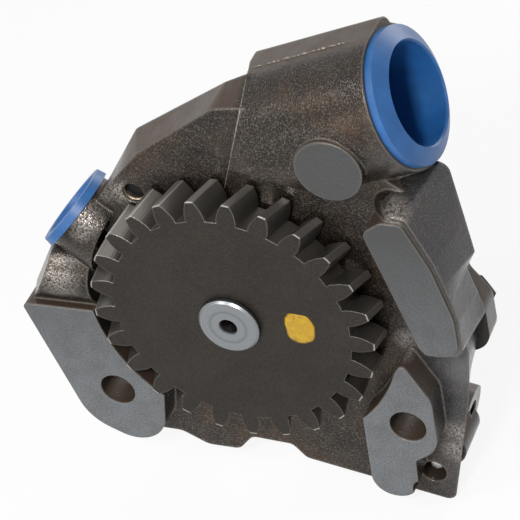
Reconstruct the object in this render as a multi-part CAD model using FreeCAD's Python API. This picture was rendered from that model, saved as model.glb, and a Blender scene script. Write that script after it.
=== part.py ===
import FreeCAD, Part
import os
from math import sin, cos, tan, acos, atan2, pi, radians, sqrt

# Engine oil pump, all sizes in millimetres.
# The gear axis runs along Y and the gear faces -Y, X runs along the line of the
# two mounting holes, and Z is up. The origin lies midway between the two
# mounting holes, on the machined plane of the mounting pads.

# Mounting
bolt_spacing = 120.0          # between the two mounting holes
bolt_hole_r = 7.25            # coarse clearance for M12

# Levels along Y, counted back from the mounting plane
floor_y = 11.0                # cast floor behind the drive gear
joint_y = 24.0                # rear face of the body
wall_y = 1.5                  # front of the side wall round the strip pad
slot_y = 16.5                 # floor of the passages in the rear face
gasket_t = 0.5
flange_t = 10.0               # bolting flange of the rear housing

# Drive gear, a helical gear that stands proud of the mounting plane
gear_x = -1.8
gear_z = 46.5
gear_teeth = 25
gear_module = 4.0             # in the normal plane
gear_helix = 17.0             # right-hand, in degrees
gear_face = 14.0
gear_proud = 4.6
gear_backlash = 0.3
gear_phase = 10.1             # angle of one front tooth above +X, in degrees
gear_clear_left = 60.5        # pads keep outside these radii of the gear axis
gear_clear_right = 63.2
gear_clear_inlet = 68.0
gear_clear_outlet = 58.5

# Shafts
shaft_r = 12.0                # seat of the drive gear
journal_r = 11.0
shaft_proud = 2.8             # front end of the shaft beyond the gear
run_clear = 0.04              # radial clearance of a journal in its bush
end_play = 0.15               # axial clearance of turning pieces
bush_wall = 2.5
thrust_r = 19.0
shaft_bevel = 0.8
centre_r = 3.7
centre_drill_r = 1.6

# Pumping gears
pump_teeth = 12
pump_module = 3.5
pump_angle = 25.0             # pressure angle, in degrees
pocket_depth = 22.0           # of the gear pockets in the rear housing
pump_backlash = 0.30
pocket_clear = 0.30
idler_pin_r = 8.0
idler_wall = 2.0              # bush in the driven gear
idler_seat = 9.0              # idler shaft in each casting
port_half = 9.0               # half width of the chambers above and below the mesh
port_reach = 26.0             # reach of those chambers from the line of gear axes
key_w = 4.0
key_h = 4.0
key_len = 14.0
key_in = 4.0                  # front end of the key behind the gear's front face

# Rear housing
housing_wall = 8.0            # round the gear pockets
housing_end = 11.0            # behind the gear pockets
spigot_len = 3.0

# Housing bolts, M10, as (x, z), and how deep each thread goes from the joint
housing_bolts = [(-38.8, 91.2, 14.0), (76.5, 33.5, 11.0), (-36.0, -20.0, 9.0),
                 (-6.0, -8.0, 9.0), (-46.5, 40.0, 9.0), (58.0, 84.0, 12.0)]
housing_bolt_r = 5.0
thread_r = 4.25               # of the tapped holes
bolt_short = 4.0              # thread left free at the end of a hole
housing_bolt_head = 16.0      # across flats
housing_bolt_head_t = 6.4
thread_play = 0.05            # bolt to hole, on radius
bolt_clear = 0.5              # bolt to flange hole, on radius
washer_t = 2.0
washer_r = 9.5
lug_r = 11.5
dowel_r = 4.0
dowel_len = 16.0
dowel_play = 0.02
dowel_in = 8.0                # dowel in the body
dowels_at = [(-30.0, 74.0), (65.5, 67.0)]

# Large inlet port, its axis square to the gear axis and rising to the right
inlet_angle = 20.4            # above +X, in degrees
inlet_along = 94.6            # mouth, from the gear axis along the port axis
inlet_above = 56.4            # port axis above the gear axis, square to it
inlet_y = 28.0
inlet_r = 26.6                # outside of the port boss
inlet_bore_r = 21.5
inlet_bore_len = 46.0
inlet_end_x = -16.0            # left end of the boss, at y = 0 and the height of the gear axis
inlet_end_lean = 70.7          # of that end above +X, in degrees
inlet_end_drift = -0.249       # its shift towards +X for each mm to the rear
inlet_rear_x = 8.0            # left end of the boss behind the joint
inlet_flat_len = 15.5         # flat crown, from the port axis to the rear
inlet_flat_round = 5.0
spot_r = 12.6                 # machined disc on the front of the boss
spot_x = 46.1
spot_z = 118.3

# Small outlet port at the left
outlet_angle = 42.8           # above -X, in degrees
outlet_x = -66.8
outlet_z = 76.5
outlet_y = 16.0
outlet_r = 15.5
outlet_bore_r = 11.0
outlet_bore_len = 12.0
outlet_near = 13.0            # full round length of the boss
outlet_far = 40.0
outlet_drill_r = 6.5
outlet_drill_len = 26.0
outlet_root_r = 20.0          # where the boss blends into the plate
outlet_root_in = 22.0         # length of the cone that leads there

# Rounded shoulder between the outlet and the left pad
shoulder_r = 14.0
shoulder_y = 14.6             # of its axis
shoulder_z = 49.5
shoulder_right = -52.0

# Blue protective plugs
plug_wall = 1.8
inlet_lip_r = 25.4
inlet_lip_t = 3.0
inlet_rim_r = 19.5
inlet_rim_up = 3.2
inlet_plug_len = 20.0
outlet_lip_r = 17.1
outlet_lip_t = 3.4
outlet_plug_len = 10.0
outlet_rim_r = 13.5
outlet_dish = 1.6
plug_taper = 1.2
plug_clear = 0.3
lip_clear = 1.0               # castings keep clear of the plug's lip, on radius

# Relief valve in the rear housing, its bore rising towards the left
relief_angle = 13.0           # of the bore above -X, in degrees
relief_x = 67.6               # centre of the mouth
relief_y = 43.0
relief_z = -34.1
relief_bore_r = 8.0
relief_barrel_r = 12.0
relief_end_r = 14.0           # thicker ring round the mouth
relief_end_len = 9.0
relief_len = 54.0             # mouth to seat
relief_feed_r = 4.5           # passage beyond the seat
relief_pin_in = 5.0           # cross pin, inwards from the mouth
relief_pin_r = 3.0
relief_pin_front = 15.0
relief_pin_back = 54.0
relief_hole_r = 5.1           # access to the pin through the body
relief_wall = 6.0
spill_r = 3.0
pin_play = 0.03
relief_boss_r = 9.0           # round the pin, up to the joint
relief_cup_len = 4.0          # spring cup that leans on the pin
plunger_len = 18.0
plunger_wall = 2.0
plunger_clear = 0.05
plunger_lift = 6.0            # travel until the spill port is open
spring_wire = 1.5
spring_turns = 6
spring_seat_gap = 0.1

# Reach of cutting shapes that pass right through
far = 200.0

# Values worked out from the sizes above
helix = radians(gear_helix)
gear_pitch_r = gear_module * gear_teeth / cos(helix) / 2
gear_tip_r = gear_pitch_r + gear_module
gear_root_r = gear_pitch_r - 1.25 * gear_module
gear_front = -gear_proud
gear_back = gear_front + gear_face
shaft_front = gear_front - shaft_proud
pump_pitch_r = pump_module * pump_teeth / 2
pump_tip_r = pump_pitch_r + 0.9 * pump_module
pump_root_r = pump_pitch_r - 1.25 * pump_module
idler_x = gear_x + 2 * pump_pitch_r
housing_y = joint_y + gasket_t
flange_back = housing_y + flange_t
pocket_r = pump_tip_r + pocket_clear
pocket_y = housing_y + pocket_depth
pump_front = joint_y + end_play
pump_back = pocket_y - end_play
housing_back = pocket_y + housing_end
shaft_back = housing_back - 4.0
bush_r = journal_r + bush_wall
pin_x = relief_x - relief_pin_in * cos(radians(relief_angle))
pin_z = relief_z + relief_pin_in * sin(radians(relief_angle))


def vec(x, y, z):
    return FreeCAD.Vector(x, y, z)


def rounded(corners, y):
    """Closed wire in the plane at y through corners (x, z, radius)."""
    count = len(corners)
    starts = []
    ends = []
    mids = []
    for i in range(count):
        x, z, r = corners[i]
        px, pz, _ = corners[i - 1]
        nx, nz, _ = corners[(i + 1) % count]
        here = vec(x, y, z)
        back = (vec(px, y, pz) - here).normalize()
        fore = (vec(nx, y, nz) - here).normalize()
        turn = back.getAngle(fore)
        cut = r / tan(turn / 2)
        middle = (back + fore).normalize()
        reach = r / sin(turn / 2) - r
        starts.append(here + back * cut)
        mids.append(here + middle * reach)
        ends.append(here + fore * cut)
    edges = []
    for i in range(count):
        edges.append(Part.Arc(starts[i], mids[i], ends[i]).toShape())
        edges.append(Part.LineSegment(ends[i], starts[(i + 1) % count]).toShape())
    return Part.Wire(edges)


def plate(corners, y0, y1):
    """Rounded outline carried straight back from y0 to y1."""
    return Part.Face(rounded(corners, y0)).extrude(vec(0, y1 - y0, 0))


def tapered(front, y0, rear, y1):
    """Straight-sided solid between two outlines with as many corners."""
    return Part.makeLoft([rounded(front, y0), rounded(rear, y1)], True, True)


def rod(x, z, r, y0, y1):
    """Cylinder along Y."""
    return Part.makeCylinder(r, y1 - y0, vec(x, y0, z), vec(0, 1, 0))


def tube(x, z, r_out, r_in, y0, y1):
    return rod(x, z, r_out, y0, y1).cut(rod(x, z, r_in, y0, y1))


def slanted(angle, x, y, z, r, start, end):
    """Cylinder in a plane of constant y, between two distances from a point."""
    way = vec(cos(radians(angle)), 0, sin(radians(angle)))
    return Part.makeCylinder(r, end - start, vec(x, y, z) + way * start, way)


def turned(profile, angle, x, y, z):
    """Solid turned from (along, radius) points, its axis laid at an angle above +X."""
    points = [vec(a, r, 0) for a, r in profile]
    points.append(points[0])
    solid = Part.Face(Part.makePolygon(points)).revolve(vec(0, 0, 0), vec(1, 0, 0), 360)
    solid.rotate(vec(0, 0, 0), vec(0, 1, 0), -angle)
    solid.translate(vec(x, y, z))
    return solid


def turned_y(profile, x, z):
    """Solid turned about an axis along Y from (y, radius) points."""
    points = [vec(r, y, 0) for y, r in profile]
    points.append(points[0])
    solid = Part.Face(Part.makePolygon(points)).revolve(vec(0, 0, 0), vec(0, 1, 0), 360)
    solid.translate(vec(x, 0, z))
    return solid


def hexagon(x, z, across, y0, y1):
    corner = across / sqrt(3)
    points = [vec(x + corner * cos(radians(60 * i)), y0, z + corner * sin(radians(60 * i)))
              for i in range(7)]
    return Part.Face(Part.makePolygon(points)).extrude(vec(0, y1 - y0, 0))


def soften(solid, radius, test):
    """Fillet the edges of a solid that a test picks."""
    return solid.makeFillet(radius, [e for e in solid.Edges if test(e)])


def save(name, shape):
    shape.exportStep("parts/" + name + ".step")
    print(name, len(shape.Solids), "solids", round(shape.Volume), shape.isValid())


def involute(angle):
    return tan(angle) - angle


def half_angle(base_r, pitch_r, at_pitch, r):
    """Half the angle of a tooth at radius r, from its half angle at the pitch radius."""
    pressure = acos(base_r / pitch_r)
    here = acos(min(1.0, base_r / r))
    return at_pitch + involute(pressure) - involute(here)


def gear_wire(x, z, teeth, base_r, pitch_r, root_r, tip_r, at_pitch, turn, y):
    """Gear outline, each tooth with two involute flanks between root and tip arcs."""
    def at(r, angle):
        return vec(x + r * cos(angle), y, z + r * sin(angle))
    low = max(root_r, base_r)
    mid = (low + tip_r) / 2
    low_half = half_angle(base_r, pitch_r, at_pitch, low)
    mid_half = half_angle(base_r, pitch_r, at_pitch, mid)
    tip_half = half_angle(base_r, pitch_r, at_pitch, tip_r)
    pitch = 2 * pi / teeth
    edges = []
    for i in range(teeth):
        c = turn + i * pitch
        if root_r < base_r:
            edges.append(Part.LineSegment(at(root_r, c - low_half), at(low, c - low_half)).toShape())
        edges.append(Part.Arc(at(low, c - low_half), at(mid, c - mid_half),
                              at(tip_r, c - tip_half)).toShape())
        edges.append(Part.Arc(at(tip_r, c - tip_half), at(tip_r, c),
                              at(tip_r, c + tip_half)).toShape())
        edges.append(Part.Arc(at(tip_r, c + tip_half), at(mid, c + mid_half),
                              at(low, c + low_half)).toShape())
        if root_r < base_r:
            edges.append(Part.LineSegment(at(low, c + low_half), at(root_r, c + low_half)).toShape())
        edges.append(Part.Arc(at(root_r, c + low_half), at(root_r, c + pitch / 2),
                              at(root_r, c + pitch - low_half)).toShape())
    return Part.Wire(edges)


def drive_gear():
    """Helical gear, its rear outline turned against its front one."""
    base_r = gear_pitch_r * cos(atan2(tan(radians(20)), cos(helix)))
    half = pi / 2 / gear_teeth - gear_backlash / 2 / gear_pitch_r
    twist = gear_face * tan(helix) / gear_pitch_r
    turn = radians(gear_phase)
    front = gear_wire(gear_x, gear_z, gear_teeth, base_r, gear_pitch_r, gear_root_r,
                      gear_tip_r, half, turn, gear_front)
    rear = gear_wire(gear_x, gear_z, gear_teeth, base_r, gear_pitch_r, gear_root_r,
                     gear_tip_r, half, turn - twist, gear_back)
    blank = Part.makeLoft([front, rear], True, True)
    return blank.cut(rod(gear_x, gear_z, shaft_r, gear_front - 1, gear_back + 1))


def pump_gear(x, turn, bore_r):
    """Spur gear of the pumping pair."""
    base_r = pump_pitch_r * cos(radians(pump_angle))
    half = pi / 2 / pump_teeth - pump_backlash / 2 / pump_pitch_r
    wire = gear_wire(x, gear_z, pump_teeth, base_r, pump_pitch_r, pump_root_r,
                     pump_tip_r, half, turn, pump_front)
    solid = Part.Face(wire).extrude(vec(0, pump_back - pump_front, 0))
    return solid.cut(rod(x, gear_z, bore_r, pump_front - 1, pump_back + 1))


def key_box(extra):
    """Key along the drive shaft, half in the shaft and half in the pump gear."""
    y0 = pump_front + key_in - extra
    return Part.makeBox(key_w + 2 * extra, key_len + 2 * extra, key_h + 2 * extra,
                        vec(gear_x - key_w / 2 - extra, y0, gear_z + journal_r - key_h / 2 - extra))


def drive_shaft():
    """Stepped shaft with a centre drilling in its front end."""
    shaft = turned_y([(shaft_front, 0), (shaft_front, shaft_r - shaft_bevel),
                      (shaft_front + shaft_bevel, shaft_r), (gear_back, shaft_r),
                      (gear_back, journal_r), (shaft_back - shaft_bevel, journal_r),
                      (shaft_back, journal_r - shaft_bevel), (shaft_back, 0)], gear_x, gear_z)
    depth = centre_r - centre_drill_r
    mark = turned_y([(shaft_front - 1, 0), (shaft_front - 1, centre_r), (shaft_front, centre_r),
                     (shaft_front + depth * 1.7, centre_drill_r),
                     (shaft_front + depth * 1.7 + 4, centre_drill_r),
                     (shaft_front + depth * 1.7 + 4, 0)], gear_x, gear_z)
    return shaft.cut(mark).cut(key_box(0))


# Outline of the body's plate at its floor and at the joint, as (x, z, corner radius)
body_front = [
    (-92.0, 38.5, 3.0), (-75.3, -17.0, 18.0), (-52.0, -28.6, 8.0), (-42.5, -28.8, 8.0),
    (-32.0, -34.6, 8.0), (-18.5, -34.8, 5.0), (-12.0, -27.2, 4.0), (5.0, -28.4, 4.0),
    (10.0, -34.8, 4.0), (69.8, -47.4, 4.0), (81.8, 8.0, 12.0), (84.0, 30.0, 12.0),
    (82.0, 60.0, 12.0), (74.0, 100.0, 5.0), (50.0, 116.0, 6.0), (14.0, 134.5, 4.0),
    (0.5, 133.0, 12.0), (-33.5, 110.0, 8.0), (-55.5, 86.0, 5.0), (-66.0, 76.0, 5.0),
    (-79.0, 62.0, 4.0),
]

body_rear = [
    (-91.0, 38.5, 3.0), (-74.3, -16.0, 18.0), (-52.0, -26.6, 8.0), (-42.5, -26.8, 8.0),
    (-32.0, -32.6, 8.0), (-18.5, -32.8, 5.0), (-12.0, -25.2, 4.0), (5.0, -26.4, 4.0),
    (10.0, -32.8, 4.0), (64.5, -43.6, 4.0), (76.5, 4.0, 12.0), (84.0, 28.0, 12.0),
    (82.0, 60.0, 12.0), (74.0, 100.0, 5.0), (50.0, 119.0, 6.0), (13.0, 141.2, 4.0),
    (1.5, 135.8, 12.0), (-38.6, 111.4, 6.0), (-55.5, 86.0, 5.0), (-66.0, 76.0, 5.0),
    (-79.0, 62.0, 4.0),
]

left_pad = [
    (-92.8, 40.0, 2.0), (-76.0, -17.5, 20.0), (-45.6, -31.9, 14.5), (-40.2, 0.0, 2.0),
    (-40.2, 40.0, 2.0),
]

right_pad = [
    (61.3, 31.8, 2.0), (70.9, 14.0, 10.0), (70.8, -10.8, 12.0), (60.8, -17.7, 2.5),
    (60.0, -37.6, 9.0), (41.4, -37.6, 9.0), (42.3, 3.0, 2.0), (50.0, 12.0, 2.0),
]

strip_pad = [
    (54.6, 92.0, 4.0), (62.0, 97.2, 4.0), (70.0, 97.0, 3.0), (78.5, 78.0, 20.0),
    (84.6, 55.0, 20.0), (84.6, 38.0, 6.0), (70.6, 36.5, 6.0),
]

# The side wall round the strip pad, sloping out to its edge at the joint
wall_front = [
    (63.0, 99.0, 3.0), (70.9, 99.2, 3.0), (79.6, 79.5, 16.0), (82.4, 70.0, 2.0),
    (84.2, 62.5, 2.0), (85.8, 54.0, 8.0), (85.8, 36.8, 5.0), (70.0, 35.4, 3.0),
]

wall_rear = [
    (45.0, 114.0, 13.0), (81.4, 107.8, 5.0), (84.8, 84.0, 16.0), (86.9, 68.5, 2.0),
    (82.9, 60.8, 2.0), (86.0, 49.0, 8.0), (88.4, 39.5, 5.0), (58.0, 12.0, 10.0),
]

# Bevelled outer end of the shoulder beside the outlet, in front and near the joint
shoulder_front = [
    (-87.4, 41.0, 3.0), (-75.6, 62.0, 4.0), (-50.0, 66.0, 2.0), (-50.0, 30.0, 2.0),
    (-84.0, 30.0, 2.0),
]

shoulder_rear = [
    (-92.8, 39.4, 1.5), (-79.2, 63.4, 4.0), (-50.0, 66.0, 2.0), (-50.0, 30.0, 2.0),
    (-90.0, 30.0, 2.0),
]

# Passages in the rear face of the body, from the inlet and to the outlet
suction_slot = [
    (10.0, 62.0, 5.0), (28.0, 62.0, 5.0), (40.0, 106.0, 6.0), (20.0, 102.0, 6.0),
]

delivery_slot = [
    (11.0, 31.0, 3.0), (28.0, 31.0, 3.0), (28.0, 17.0, 4.0), (-8.0, 9.0, 8.0),
    (-38.0, 24.0, 8.0), (-54.0, 54.0, 4.0), (-45.0, 63.0, 3.0), (-27.0, 34.0, 8.0),
    (-10.0, 22.5, 6.0),
]

# Bolting flange of the rear housing
flange_outline = [
    (-47.6, 102.0, 10.0), (-43.5, 80.0, 6.0), (-46.0, 64.0, 5.0), (-59.0, 50.0, 9.0),
    (-58.0, 29.0, 10.0), (-44.0, 22.0, 6.0), (-47.0, -30.5, 10.0), (-25.0, -30.5, 10.0),
    (-17.0, -20.0, 6.0), (5.0, -20.0, 10.0), (12.0, 6.0, 6.0), (44.0, 11.0, 6.0),
    (68.0, 13.0, 6.0), (88.0, 24.0, 9.0), (87.6, 42.5, 9.0), (80.0, 53.0, 6.0),
    (79.4, 66.0, 5.0), (74.5, 101.5, 7.0), (10.0, 78.9, 4.0), (0.0, 82.5, 5.0),
    (-22.0, 103.5, 10.0),
]


def inlet_point(ahead, above):
    """Point in the XZ plane, along the inlet axis and square to it, from the gear axis."""
    a = radians(inlet_angle)
    return (gear_x + ahead * cos(a) - above * sin(a), gear_z + ahead * sin(a) + above * cos(a))


def inlet_boss():
    """Round boss with a flat crown behind its axis, cut by a plane at its left end."""
    reach = inlet_along
    x, z = inlet_point(inlet_along - reach, inlet_above)
    boss = slanted(inlet_angle, x, inlet_y, z, inlet_r, 0, reach)
    crown = Part.makeBox(reach, inlet_flat_len, inlet_r, vec(0, 0, 0))
    crown = soften(crown, inlet_flat_round, lambda e: abs(e.CenterOfMass.y - inlet_flat_len) < 0.01
                   and abs(e.CenterOfMass.z - inlet_r) < 0.01)
    crown.rotate(vec(0, 0, 0), vec(0, 1, 0), -inlet_angle)
    crown.translate(vec(x, inlet_y, z))
    boss = boss.fuse(crown).common(inlet_room())
    return boss.fuse(rod(spot_x, spot_z, spot_r, 0, inlet_y))


def inlet_room():
    """Everything to the right of the leaning plane that ends the inlet boss."""
    low_x = inlet_end_x - inlet_end_drift * far
    high_x = low_x + far / tan(radians(inlet_end_lean))
    front = Part.makePolygon([vec(low_x, -far, gear_z), vec(high_x, -far, gear_z + far),
                              vec(2 * far, -far, gear_z + far), vec(2 * far, -far, gear_z),
                              vec(low_x, -far, gear_z)])
    room = Part.Face(front).extrude(vec(2 * far * inlet_end_drift, 2 * far, 0))
    behind = Part.makeBox(far, far, 2 * far, vec(inlet_rear_x - far, joint_y, -far))
    return room.cut(behind)


def outlet_boss():
    """Round boss of the outlet, coned where it blends in and flush with the joint."""
    near = slanted(-outlet_angle, outlet_x, outlet_y, outlet_z, outlet_r, 0, outlet_near)
    deep = slanted(-outlet_angle, outlet_x, outlet_y, outlet_z, outlet_r, 0, outlet_far)
    below = Part.makeBox(2 * far, joint_y + far, 2 * far, vec(-far, -far, -far))
    # The cone leans back so that its front line keeps the level of the boss
    lean = atan2(outlet_root_r - outlet_r, outlet_root_in)
    way = vec(cos(radians(outlet_angle)) * cos(lean), sin(lean),
              -sin(radians(outlet_angle)) * cos(lean))
    start = vec(outlet_x, outlet_y, outlet_z) + way * outlet_lip_t
    root = Part.makeCone(outlet_r, outlet_root_r, outlet_root_in, start, way)
    return near.multiFuse([deep.common(below), root.common(below)])


def ring_cut(r, y0, y1, side):
    """Room for the drive gear on one side of its axis."""
    half = Part.makeBox(far, 2 * far, 2 * far, vec(gear_x if side > 0 else gear_x - far, -far, -far))
    return rod(gear_x, gear_z, r, y0, y1).common(half)


def left_shoulder():
    """Rounded hump that runs from the outer edge to the drive gear."""
    hump = slanted(0, -far, shoulder_y, shoulder_z, shoulder_r, 0, far + shoulder_right)
    ends = tapered(shoulder_front, 0, shoulder_rear, shoulder_y)
    return hump.common(ends.fuse(plate(shoulder_rear, shoulder_y, joint_y - 2)))


def pump_body():
    """Front casting with the pads, both ports and the front bearing."""
    body = tapered(body_front, floor_y, body_rear, joint_y)
    raised = [plate(left_pad, 0, joint_y - 2), plate(right_pad, 0, joint_y - 2),
              plate(strip_pad, 0, joint_y - 2), tapered(wall_front, wall_y, wall_rear, joint_y),
              left_shoulder()]
    body = body.multiFuse(raised)
    body = body.cut(ring_cut(gear_clear_left, -far, floor_y, -1))
    body = body.cut(ring_cut(gear_clear_right, -far, floor_y, 1))
    outlet = outlet_boss().cut(rod(gear_x, gear_z, gear_clear_outlet, -far, floor_y))
    inlet = inlet_boss().cut(rod(gear_x, gear_z, gear_clear_inlet, -far, floor_y))
    inlet = inlet.cut(plate(flange_room(), joint_y, joint_y + far))
    body = body.multiFuse([inlet, outlet])
    # Port bores
    x, z = inlet_point(inlet_along, inlet_above)
    body = body.cut(slanted(inlet_angle, x, inlet_y, z, inlet_bore_r, -inlet_bore_len, 1))
    body = body.cut(slanted(inlet_angle, x, inlet_y, z, inlet_lip_r + lip_clear, 0, far))
    for r, end in ((outlet_bore_r, outlet_bore_len), (outlet_drill_r, outlet_drill_len)):
        body = body.cut(slanted(-outlet_angle, outlet_x, outlet_y, outlet_z, r, -1, end))
    # Passages in the rear face
    for outline in (suction_slot, delivery_slot):
        body = body.cut(plate(outline, slot_y, joint_y + 1))
    # Mounting holes, bearing seat, idler seat, threads, dowels, access to the relief pin
    for side in (-1, 1):
        body = body.cut(rod(side * bolt_spacing / 2, 0, bolt_hole_r, -1, joint_y + 1))
    body = body.cut(rod(gear_x, gear_z, bush_r, floor_y - 1, joint_y + 1))
    body = body.cut(rod(idler_x, gear_z, idler_pin_r, joint_y - idler_seat, joint_y + 1))
    for bx, bz, deep in housing_bolts:
        body = body.cut(rod(bx, bz, thread_r, joint_y - deep, joint_y + 1))
    for dx, dz in dowels_at:
        body = body.cut(rod(dx, dz, dowel_r + dowel_play, joint_y - dowel_in, joint_y + 1))
    body = body.cut(rod(pin_x, pin_z, relief_hole_r, -1, joint_y + 1))
    return body.removeSplitter()


def flange_room():
    """Outline that keeps the inlet boss clear of the rear housing."""
    x0, z0 = inlet_point(inlet_along + 20, inlet_above - inlet_r - 0.2)
    x1, z1 = inlet_point(-40, inlet_above - inlet_r - 0.2)
    return [(x0, z0, 1.0), (x1, z1, 1.0), (x1, z1 - inlet_along, 1.0), (x0, z0 - inlet_along, 1.0)]


def racetrack(r, y0, y1):
    """Solid round both pump gears."""
    middle = Part.makeBox(idler_x - gear_x, y1 - y0, 2 * r, vec(gear_x, y0, gear_z - r))
    return middle.multiFuse([rod(gear_x, gear_z, r, y0, y1), rod(idler_x, gear_z, r, y0, y1)])


def pockets(y0, y1):
    """Room for the pump gears, open above and below the mesh."""
    mid_x = (gear_x + idler_x) / 2
    ports = Part.makeBox(2 * port_half, y1 - y0, 2 * port_reach,
                         vec(mid_x - port_half, y0, gear_z - port_reach))
    return rod(gear_x, gear_z, pocket_r, y0, y1).multiFuse([rod(idler_x, gear_z, pocket_r, y0, y1),
                                                            ports])


def relief(r, start, end):
    """Cylinder on the relief valve's axis, measured inwards from its mouth."""
    return slanted(180 - relief_angle, relief_x, relief_y, relief_z, r, start, end)


def rear_housing():
    """Rear casting with the gear pockets, the rear bearing and the relief valve."""
    casing = racetrack(pocket_r + housing_wall, housing_y, housing_back)
    casing = casing.removeSplitter()
    casing = soften(casing, 5.0, lambda e: abs(e.CenterOfMass.y - housing_back) < 0.01)
    spigot = turned_y([(housing_back - 6, 0), (housing_back - 6, bush_r + 5), (housing_back, bush_r + 5),
                       (housing_back + spigot_len, bush_r + 3.5), (housing_back + spigot_len, 0)],
                      gear_x, gear_z)
    barrel = relief(relief_barrel_r, 0.5, relief_len + relief_wall)
    mouth = relief(relief_end_r, 0, relief_end_len)
    foot = rod(pin_x, pin_z, relief_boss_r, housing_y, relief_y)
    web = plate(relief_web, relief_y - 9, relief_y + 9)
    house = plate(flange_outline, housing_y, flange_back)
    house = house.multiFuse([casing, spigot, barrel, mouth, foot, web])
    house = house.cut(pockets(housing_y - 1, pocket_y))
    house = house.cut(rod(gear_x, gear_z, bush_r, pocket_y - 1, shaft_back + 1))
    house = house.cut(rod(idler_x, gear_z, idler_pin_r, pocket_y - 1, pocket_y + idler_seat))
    house = house.cut(relief(relief_bore_r, -1, relief_len))
    house = house.cut(relief(relief_feed_r, relief_len - 1, relief_len + 4))
    feed_x = relief_x - relief_len * cos(radians(relief_angle)) - 1
    feed_z = relief_z + relief_len * sin(radians(relief_angle))
    house = house.cut(Part.makeCylinder(relief_feed_r, gear_z - port_reach - feed_z + 2,
                                        vec(feed_x, relief_y - 2, feed_z), vec(0, 0, 1)))
    spill = relief_len - plunger_len - plunger_lift + 8
    house = house.cut(spill_hole(spill))
    for bx, bz, _ in housing_bolts:
        house = house.cut(rod(bx, bz, housing_bolt_r + bolt_clear, housing_y - 1, flange_back + 1))
        house = house.cut(rod(bx, bz, washer_r + 1.0, flange_back, flange_back + far))
    for dx, dz in dowels_at:
        house = house.cut(rod(dx, dz, dowel_r + dowel_play, housing_y - 1,
                              joint_y - dowel_in + dowel_len + 0.5))
    house = house.cut(rod(pin_x, pin_z, relief_pin_r + pin_play, housing_y - 1, relief_pin_back + 0.2))
    return house.removeSplitter()


relief_web = [
    (8.0, -10.0, 4.0), (12.0, -24.0, 4.0), (46.0, -32.0, 4.0), (44.0, 18.0, 6.0),
    (6.0, 18.0, 6.0),
]


def spill_hole(inward):
    """Spill port in the underside of the relief barrel."""
    a = radians(relief_angle)
    x = relief_x - inward * cos(a)
    z = relief_z + inward * sin(a)
    return Part.makeCylinder(spill_r, 40, vec(x, relief_y, z), vec(-sin(a), 0, -cos(a)))


def gasket():
    """Thin sheet between the castings, cut out for the gears, passages and bolts."""
    sheet = plate(flange_outline, joint_y, housing_y)
    sheet = sheet.cut(pockets(joint_y - 1, housing_y + 1))
    for outline in (suction_slot, delivery_slot):
        sheet = sheet.cut(plate(outline, joint_y - 1, housing_y + 1))
    for bx, bz, _ in housing_bolts:
        sheet = sheet.cut(rod(bx, bz, housing_bolt_r + bolt_clear, joint_y - 1, housing_y + 1))
    for dx, dz in dowels_at:
        sheet = sheet.cut(rod(dx, dz, dowel_r + bolt_clear, joint_y - 1, housing_y + 1))
    return sheet


def bolts():
    made = []
    for bx, bz, deep in housing_bolts:
        y0 = flange_back + washer_t
        tip = joint_y - deep + bolt_short
        head = hexagon(bx, bz, housing_bolt_head, y0, y0 + housing_bolt_head_t)
        round_head = turned_y([(y0 - 1, 0), (y0 - 1, housing_bolt_head), (y0 + 4.9, housing_bolt_head),
                               (y0 + housing_bolt_head_t, housing_bolt_head / 2 - 0.5),
                               (y0 + housing_bolt_head_t, 0)], bx, bz)
        head = head.common(round_head)
        stem = turned_y([(tip, 0), (tip, thread_r - 1), (tip + 1, thread_r - thread_play),
                         (housing_y, thread_r - thread_play), (housing_y, housing_bolt_r),
                         (y0 + 1, housing_bolt_r), (y0 + 1, 0)], bx, bz)
        made.append(head.fuse(stem).removeSplitter())
    return Part.makeCompound(made)


def washers():
    rings = [tube(bx, bz, washer_r, housing_bolt_r + 0.3, flange_back, flange_back + washer_t)
             for bx, bz, _ in housing_bolts]
    return Part.makeCompound(rings)


def dowels():
    y0 = joint_y - dowel_in
    return Part.makeCompound([rod(dx, dz, dowel_r, y0, y0 + dowel_len) for dx, dz in dowels_at])


def relief_plunger():
    """Cup-shaped plunger, closed and coned at the seat end."""
    r = relief_bore_r - plunger_clear
    seat = relief_len - 0.05
    profile = [(seat, 0), (seat, relief_feed_r - 0.6), (seat - 2, r - 0.4), (seat - 3, r),
               (seat - plunger_len, r), (seat - plunger_len, r - plunger_wall),
               (seat - 4, r - plunger_wall), (seat - 4, 0)]
    return turned(profile, 180 - relief_angle, relief_x, relief_y, relief_z)


def relief_cup():
    """Spring cup leaning on the cross pin."""
    r = relief_bore_r - 0.1
    near = relief_pin_in + relief_pin_r + 0.1
    profile = [(near, 0), (near, r), (near + relief_cup_len, r),
               (near + relief_cup_len, r - 1.5), (near + 1.5, r - 1.5), (near + 1.5, 0)]
    return turned(profile, 180 - relief_angle, relief_x, relief_y, relief_z)


def relief_spring():
    """Round wire coil between the cup and the floor of the plunger."""
    near = relief_pin_in + relief_pin_r + 0.1 + 1.5 + spring_seat_gap
    seat = relief_len - 0.05 - 4 - spring_seat_gap
    coil_r = relief_bore_r - plunger_clear - plunger_wall - spring_wire / 2 - 0.4
    height = seat - near - spring_wire
    path = Part.makeHelix(height / spring_turns, height, coil_r)
    wire = Part.Wire(Part.makeCircle(spring_wire / 2, vec(coil_r, 0, 0), vec(0, 1, 0)))
    coil = Part.Wire(path).makePipeShell([wire], True, True)
    coil.rotate(vec(0, 0, 0), vec(0, 1, 0), -90 + relief_angle)
    a = radians(relief_angle)
    start = near + spring_wire / 2
    coil.translate(vec(relief_x - start * cos(a), relief_y, relief_z + start * sin(a)))
    return coil


def relief_pin():
    return turned_y([(relief_pin_front, 0), (relief_pin_front, relief_pin_r - 0.8),
                     (relief_pin_front + 0.8, relief_pin_r), (relief_pin_back, relief_pin_r),
                     (relief_pin_back, 0)], pin_x, pin_z)


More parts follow.
